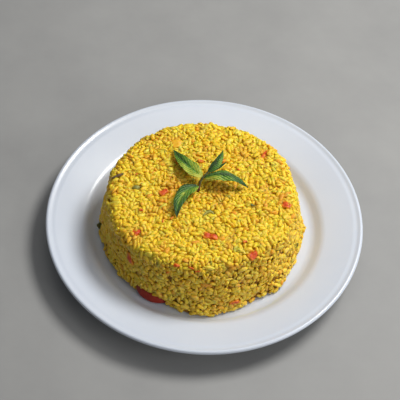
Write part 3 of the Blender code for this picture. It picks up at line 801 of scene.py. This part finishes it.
def makeRice():
    def paintGrain(place):
        tone, tint, depth = place.attribute('tone'), place.attribute('tint'), place.attribute('depth')
        mottle = place.noise(0.0020, 3.0, 0.6)
        colour = (tone + mottle * 0.28 - 0.11).ramp((0.0, (0.77, 0.41, 0.017)), (0.3, (0.83, 0.510, 0.023)),
                                                    (0.65, (0.90, 0.590, 0.033)), (1.0, (0.92, 0.68, 0.095)))
        # random brown stains, and from the mesh the browner patches: stains round the pepper pieces, and
        # painted shade under the mint leaves
        stain = place.noise(0.011, 3.0, 0.7).between(0.52, 0.68) * 0.75
        stain = stain.maths('MAXIMUM', stain, place.attribute('stain') + mottle * 0.5 - 0.25)
        speck = place.noise(0.0042, 2.0, 0.6).between(0.55, 0.68) * 0.55
        stainedAndShaded = stain.maths('MAXIMUM', stain, speck).blend(colour, (0.64, 0.28, 0.022))
        warm = tint.between(0.95, 1.0).blend(stainedAndShaded, (0.76, 0.33, 0.02))
        olive = (0.05 - tint).between(0.0, 0.05).blend(warm, (0.84, 0.63, 0.070))
        # painted shade: below 58 mm, on the shaded sides of the heap, the grains are painted a duller, bluer
        # colour and the gaps between them darker; at every height the deeper parts of the grains are painted
        # darker, where shade falls between them
        low = (0.058 - place.height()).between(0.0, 0.008)
        between = low.blend((0.66, 0.35, 0.016), (0.27, 0.105, 0.008))
        sideShadeTint = (low * 0.25).blend(olive, (0.82, 0.46, 0.085))
        shaded = (depth + low * 0.6).between(1.0, 3.1).blend(sideShadeTint, between)
        return {'Base Color': shaded, 'Roughness': 0.36 + mottle * 0.2,
                'Normal': (mottle + place.noise(0.0007, 2.0) * 0.25).bump(0.0006, 0.7)}

    def paintCore(place):
        mottle = place.noise(0.0022, 4.0, 0.65)
        # painted shade: the core shows only in the gaps between the grains, so it is painted a little darker
        # than they are, with dark spots for the deep gaps, and darker still below 56 mm, where the sides of
        # the heap lie in shade
        low = (0.056 - place.height()).between(0.0, 0.008)
        light = mottle.ramp((0.30, (0.32, 0.13, 0.008)), (0.46, (0.74, 0.43, 0.017)))
        return {'Base Color': low.blend(light, (0.34, 0.145, 0.010)),
                'Roughness': 0.34 + mottle * 0.2, 'Normal': mottle.bump(0.0008, 0.6)}

    looks = dict(Subsurface_Weight=0.7, Subsurface_Scale=0.0042, Subsurface_Radius=(1.0, 0.66, 0.15),
                 Specular_IOR_Level=0.32)
    grainLook = surface("cookedRice", paintGrain, **looks)
    makeCore(surface("packedRice", paintCore, **looks))
    centre, axis, length, width = packGrains(keepClear())
    points = grainPoints(centre, axis, length, width)
    count, perGrain = points.shape[:2]
    spots = points.reshape(-1, 3)
    # depth under the skin, for the painted shade between the grains
    depth, _ = heapDepth(spots)
    random = np.random.default_rng(rice['seed'] + 2)
    tone = random.normal(0.54, 0.13, count) + valueNoise(centre, 16.0, 8) * 0.12
    tint = random.uniform(0, 1, count)
    # patches of browner rice: the listed places, partly stains and partly painted shade under the mint
    # leaves, and round each pepper piece
    stainSpotsAndShade = list(brownStainsAndLeafShade) + [(*skinAxes(shape[0], shape[1], 0)[0], 8.0) for shape in dice['pepper']]
    stain = np.max([0.8 - np.linalg.norm(spots - place, axis=1) / reach * 0.8
                    for *place, reach in stainSpotsAndShade], axis=0)
    shades = {'tone': np.repeat(tone, perGrain), 'tint': np.repeat(tint, perGrain), 'depth': depth,
              'stain': stain.clip(0, 1)}
    quads, fans = tubeFaces(len(grain['rings']), grain['sides'])
    for name, chosen in zip(("riceShort", "riceMiddle", "riceLong"), np.array_split(np.argsort(length), 3)):
        start = np.arange(len(chosen))[:, None, None] * perGrain
        faces = [(quads + start).reshape(-1, 4), (fans + start).reshape(-1, 3)]
        rows = {key: values.reshape(count, perGrain)[chosen] for key, values in shades.items()}
        addPiece(name, points[chosen].reshape(-1, 3), faces, grainLook, ["rice_heap"], rows)
        print("rice:", name, len(chosen), "grains")


# Small flecks on the rice: bearing, distance along the skin, length, width, turn

flecks = dict(
    proud=1.3,
    red=((-54.2, 61.8, 3.2, 1.8, 20), (167.5, 55.7, 2.6, 1.2, 60), (-103.0, 75.0, 5.4, 2.5, 5),
         # the last fleck on the next line, at bearing -107.9, is a red fleck put where a gap lies in shade:
         # painted shade
         (-94.6, 75.5, 5.2, 1.8, -15), (-90.4, 78.0, 4.4, 1.6, 8), (-107.9, 84.0, 4.2, 1.8, 25),
         (-132.3, 43.8, 3.2, 1.6, 80), (-127.9, 37.4, 2.6, 1.2, 40), (-153.1, 52.6, 3.0, 1.6, -20)),
    orange=((95.6, 29.9, 4.6, 3.0, 10), (129.4, 35.6, 2.6, 2.0, 80), (64.4, 35.5, 2.8, 2.2, 30),
            (40.0, 35.6, 2.6, 2.0, -30)),
    green=((-17.3, 42.1, 3.4, 1.6, -5), (-17.2, 106.7, 3.2, 1.6, 50), (-128.5, 30.6, 1.2, 1.0, 0)))


def makeFlecks(pepper, herb):
    for key, material, slot, paler in (('red', pepper, "pepper", 0.0), ('orange', pepper, "pepper", 0.45),
                                       ('green', herb, "herb", 0.0)):
        shapes = [cutBlock((bearing, along, length, width, min(width, 1.8), turn, 0.6), flecks['proud'],
                           40 + number, 8, 12)
                  for number, (bearing, along, length, width, turn) in enumerate(flecks[key])]
        points, faces, shades = joined(shapes)
        shades['rim'] += paler
        addPiece(key + "Flecks", points, faces, material, (), shades)
    print("flecks: done")


# Mint sprig

stemPath = np.array([(-6.9, -3.2, 54.5), (-6.2, -0.6, 60.2), (-5.6, 2.6, 63.9), (-3.4, 5.6, 66.4),
                     (-1.6, 7.4, 67.6), (0.3, 9.6, 68.8)])
mint = dict(stemRadius=1.1, stemTip=0.65, stemRoom=1.3, stemRings=60, stemSides=20, stalk=0.5,
            thickness=0.45, steps=110, strips=33, teeth=13, toothDepth=0.10, veins=7, veinLean=0.42,
            veinWidth=0.17, ribWidth=0.07, relief=0.85)
# node: base, tip, rise, bow, width, roll, fold, wave
leaves = {
    'back_left': ((-4.3, 6.2, 66.0), (-28.6, 37.2, 60.9), 1.7, 2.4, 11.6, 0, 14, 0.6),
    'back': ((0.4, 9.8, 68.9), (11.3, 30.2, 72.0), 1.4, -1.8, 8.2, 38, 40, 0.3),
    'right': ((-2.2, 5.2, 66.4), (33.0, 0.9, 62.6), 5.8, 3.6, 11.8, -12, -12, 0.7),
    'front_left': ((-6.9, -0.5, 63.0), (-21.9, -33.0, 62.4), 3.2, -5.0, 12.4, 14, 14, 0.6),
    'tip': ((2.4, 11.0, 67.4), (14.8, 19.6, 70.6), -0.4, -0.4, 2.6, 0, 24, 0.1),
}
# how light a leaf is painted at its base, in the middle and at its tip: right half, midrib, left half; partly
# the leaf's own tone, partly painted shade in its folds and creases and painted glossy highlights
leafToneAndPaintedShade = {
    'back_left': ((1.00, 0.60, 0.16), (0.96, 0.20, -0.02), (1.00, 0.78, 0.22)),
    'back': ((0.30, 0.55, 0.60), (0.12, 0.16, 0.46), (0.14, 0.20, 0.26)),
    'right': ((1.10, 0.62, 0.04), (0.30, 0.06, 0.40), (0.30, 0.46, 0.16)),
    'front_left': ((0.00, 0.36, 0.08), (0.24, 0.92, 0.12), (0.66, 0.56, 0.04)),
    'tip': ((0.20, 0.20, 0.20),) * 3,
}


def leafBlade(base, tip, rise, bow, width, roll, fold, wave, toneAndShadeHalves):
    # a bent midrib carries strips to both sides, folded up or down from it; between the sunk side veins
    # the blade swells; the margin waves and ends in teeth that point to the tip
    base, tip = np.array(base), np.array(tip)
    chord = tip - base
    sideways = unit(np.array([-chord[1], chord[0], 0.0]))
    t = np.linspace(0, 1, mint['steps'])[:, None, None]
    u = np.linspace(-1, 1, mint['strips'])[None, :, None]
    hump = np.array([0, 0, rise]) + sideways * bow
    midrib = base + chord * t + hump * 4 * t * (1 - t)
    tangent = unit(chord + hump * 4 * (1 - 2 * t))
    side = unit(np.cross(np.array([0.0, 0.0, 1.0]), tangent))
    side = side * cos(radians(roll)) + np.cross(tangent, side) * sin(radians(roll))
    face = np.cross(tangent, side)
    oval = np.sin(pi * t ** 0.64).clip(0, 1) ** 0.95
    half = mint['stalk'] * (1 - 0.5 * t) + width / 2 * oval
    tooth = (t * mint['teeth']) % 1.0
    margin = 1 + mint['toothDepth'] * (tooth - 0.5) * np.abs(u) ** 5 * (oval > 0.2)
    phase = (t * 1.1 - mint['veinLean'] * np.abs(u)) * mint['veins']
    toVein = np.abs((phase + 0.5) % 1.0 - 0.5)
    vein = np.exp(-(toVein / mint['veinWidth']) ** 2) * (np.abs(u) < 0.92)
    rib = np.exp(-(u / mint['ribWidth']) ** 2)
    lift = np.abs(u) * (half * sin(radians(fold)) + oval * wave * np.sin(14 * t + 2 * u))
    relief = mint['relief'] * oval * min(width / 12, 1)
    swell = relief * (1 - np.maximum(vein * 0.9, rib)) * (1 - u ** 4)
    middle = midrib + side * u * half * margin * cos(radians(fold)) + face * (lift + swell)
    thick = mint['thickness'] * (1 - 0.6 * u ** 2) * (0.4 + 0.6 * oval) + 0.5 * rib * (1 - t)
    upper, lower = middle + face * thick / 2, middle - face * thick / 2
    rings = np.concatenate([upper, lower[:, ::-1]], 1)
    # painted light and shade: the lightness from the table above, partly the leaf's own tone, partly painted
    # shade of folds and painted highlights, blended across the halves
    right, mid, left = [np.interp(t, (0, 0.5, 1), values) for values in toneAndShadeHalves]
    leafToneAndShade = mid + (np.where(u < 0, right, left) - mid) * (np.abs(u) / 0.4).clip(0, 1)
    # painted light and shade: bands along the side veins that paint one flank of each swell lighter and the
    # other darker
    streak = np.cos(2 * pi * (phase + 0.15)) * (1 - rib)
    shades = {}
    for key, values in (('vein', np.maximum(vein * 0.5, rib)), ('streak', streak), ('light', leafToneAndShade)):
        values = np.broadcast_to(values, upper.shape[:2] + (1,))[..., 0]
        values = np.concatenate([values, values[:, ::-1]], 1).ravel()
        shades[key] = np.concatenate([values, values[:1], values[-1:]])
    return closedTube(rings), tubeFaces(mint['steps'], 2 * mint['strips']), shades


def makeSprig():
    def paintLeaf(place):
        vein, light = place.attribute('vein'), place.attribute('light')
        mottle = place.noise(0.004, 4.0, 0.6)
        net = place.make('ShaderNodeTexVoronoi', {'feature': 'DISTANCE_TO_EDGE'},
                         {'Vector': place, 'Scale': 900.0})
        streak = place.attribute('streak')
        # painted light and shade: the 'light' attribute is partly the leaf's own tone and partly painted
        # shade and highlights; 'streak' paints light and shade on the swells
        shade = light + mottle * 0.8 - 0.40 + streak * 0.20
        green = shade.ramp((0.05, (0.006, 0.026, 0.006)), (0.32, (0.026, 0.095, 0.010)),
                           (0.58, (0.085, 0.225, 0.017)), (0.82, (0.34, 0.43, 0.035)),
                           (1.0, (0.55, 0.53, 0.065)))
        veined = (vein * 0.22).blend(green, (0.26, 0.42, 0.09))
        return {'Base Color': veined, 'Roughness': 0.28 + mottle * 0.2,
                'Normal': (net.between(0.0, 0.25) * 0.5 + mottle * 0.8).bump(0.0005, 0.6)}

    def paintStem(place):
        streak = place.noise(0.0008, 3.0, 0.6)
        up = place.height().between(0.0595, 0.0665)
        base = streak.ramp((0.3, (0.085, 0.022, 0.015)), (0.7, (0.18, 0.055, 0.030)))
        return {'Base Color': up.blend(base, (0.065, 0.070, 0.012)), 'Roughness': 0.40 + streak * 0.2,
                'Normal': streak.bump(0.0004, 0.6)}

    leafLook = surface("mintLeaf", paintLeaf, Subsurface_Weight=0.12, Subsurface_Scale=0.0008,
                       Subsurface_Radius=(0.5, 1.0, 0.2), Specular_IOR_Level=0.4)
    for key, shape in leaves.items():
        points, faces, shades = leafBlade(*shape, leafToneAndPaintedShade[key])
        addPiece("mintLeaf_" + key, points, faces, leafLook, ["mint_leaf_" + key], shades)
    # stem: rings along the smoothed path, with a slight swelling at each joint
    rings, sides = mint['stemRings'], mint['stemSides']
    t = np.linspace(0, len(stemPath) - 1, rings)
    path = np.stack([np.interp(t, np.arange(len(stemPath)), stemPath[:, side]) for side in range(3)], -1)
    for _ in range(6):
        path[1:-1] = (path[:-2] + path[1:-1] * 2 + path[2:]) / 4
    tangent = unit(np.gradient(path, axis=0))
    first = unit(np.cross(tangent, [1.0, 0.0, 0.0]))
    second = np.cross(tangent, first)
    radius = mint['stemRadius'] * (1 - (1 - mint['stemTip']) * t / t[-1]) * (1 + 0.10 * np.cos(t * 2 * pi))
    angle = np.linspace(0, 2 * pi, sides, endpoint=False)
    square = 1 + 0.06 * np.cos(4 * angle)  # mint has a squarish stem
    ring = first[:, None] * np.cos(angle)[None, :, None] + second[:, None] * np.sin(angle)[None, :, None]
    points = path[:, None] + ring * (radius[:, None] * square[None])[..., None]
    stemLook = surface("mintStem", paintStem)
    addPiece("mintStem", closedTube(points), tubeFaces(rings, sides), stemLook, ["mint_stem"])
    print("sprig: done")


makeCamera()
makeStudio()
makePlate()
makeFlecks(*makeVegetables())
makeSprig()
makeRice()
